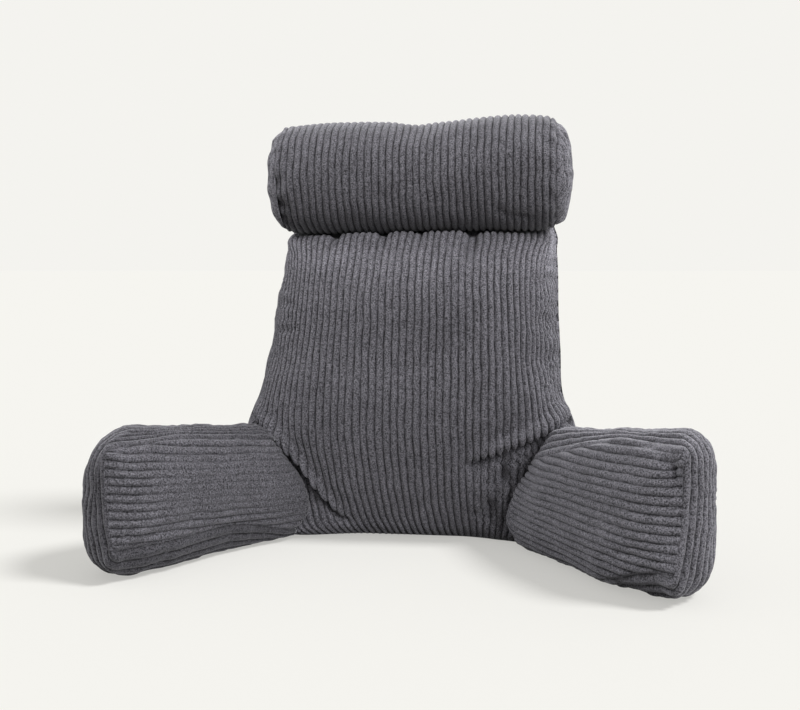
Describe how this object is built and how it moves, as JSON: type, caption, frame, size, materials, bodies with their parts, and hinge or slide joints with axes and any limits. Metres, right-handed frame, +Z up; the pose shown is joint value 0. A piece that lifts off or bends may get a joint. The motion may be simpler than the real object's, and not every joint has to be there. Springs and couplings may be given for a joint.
{
  "type": "reading pillow with arms",
  "caption": "Filled backrest pillow with an arm on each side and a bolster roll along its top edge, in wide-wale corduroy.",
  "frame": {"origin": "middle of the footprint's bounding box, on the surface that the pillow stands on", "axes": "+X to the pillow's right arm as seen from the front, +Y to its rear, +Z up; the arms reach towards -Y"},
  "size_m": [0.7118, 0.4886, 0.549],
  "materials": {
    "corduroy": "mid-grey plush corduroy, wales about 10 mm apart, matt with a soft pile sheen"
  },
  "bodies": {
    "root": {"back_cushion": "corduroy", "arm_left": "corduroy", "arm_right": "corduroy", "arm_strip_left": "corduroy", "arm_strip_right": "corduroy", "neck_roll": "corduroy", "roll_end_left": "corduroy", "roll_end_right": "corduroy"}
  },
  "joints": []
}
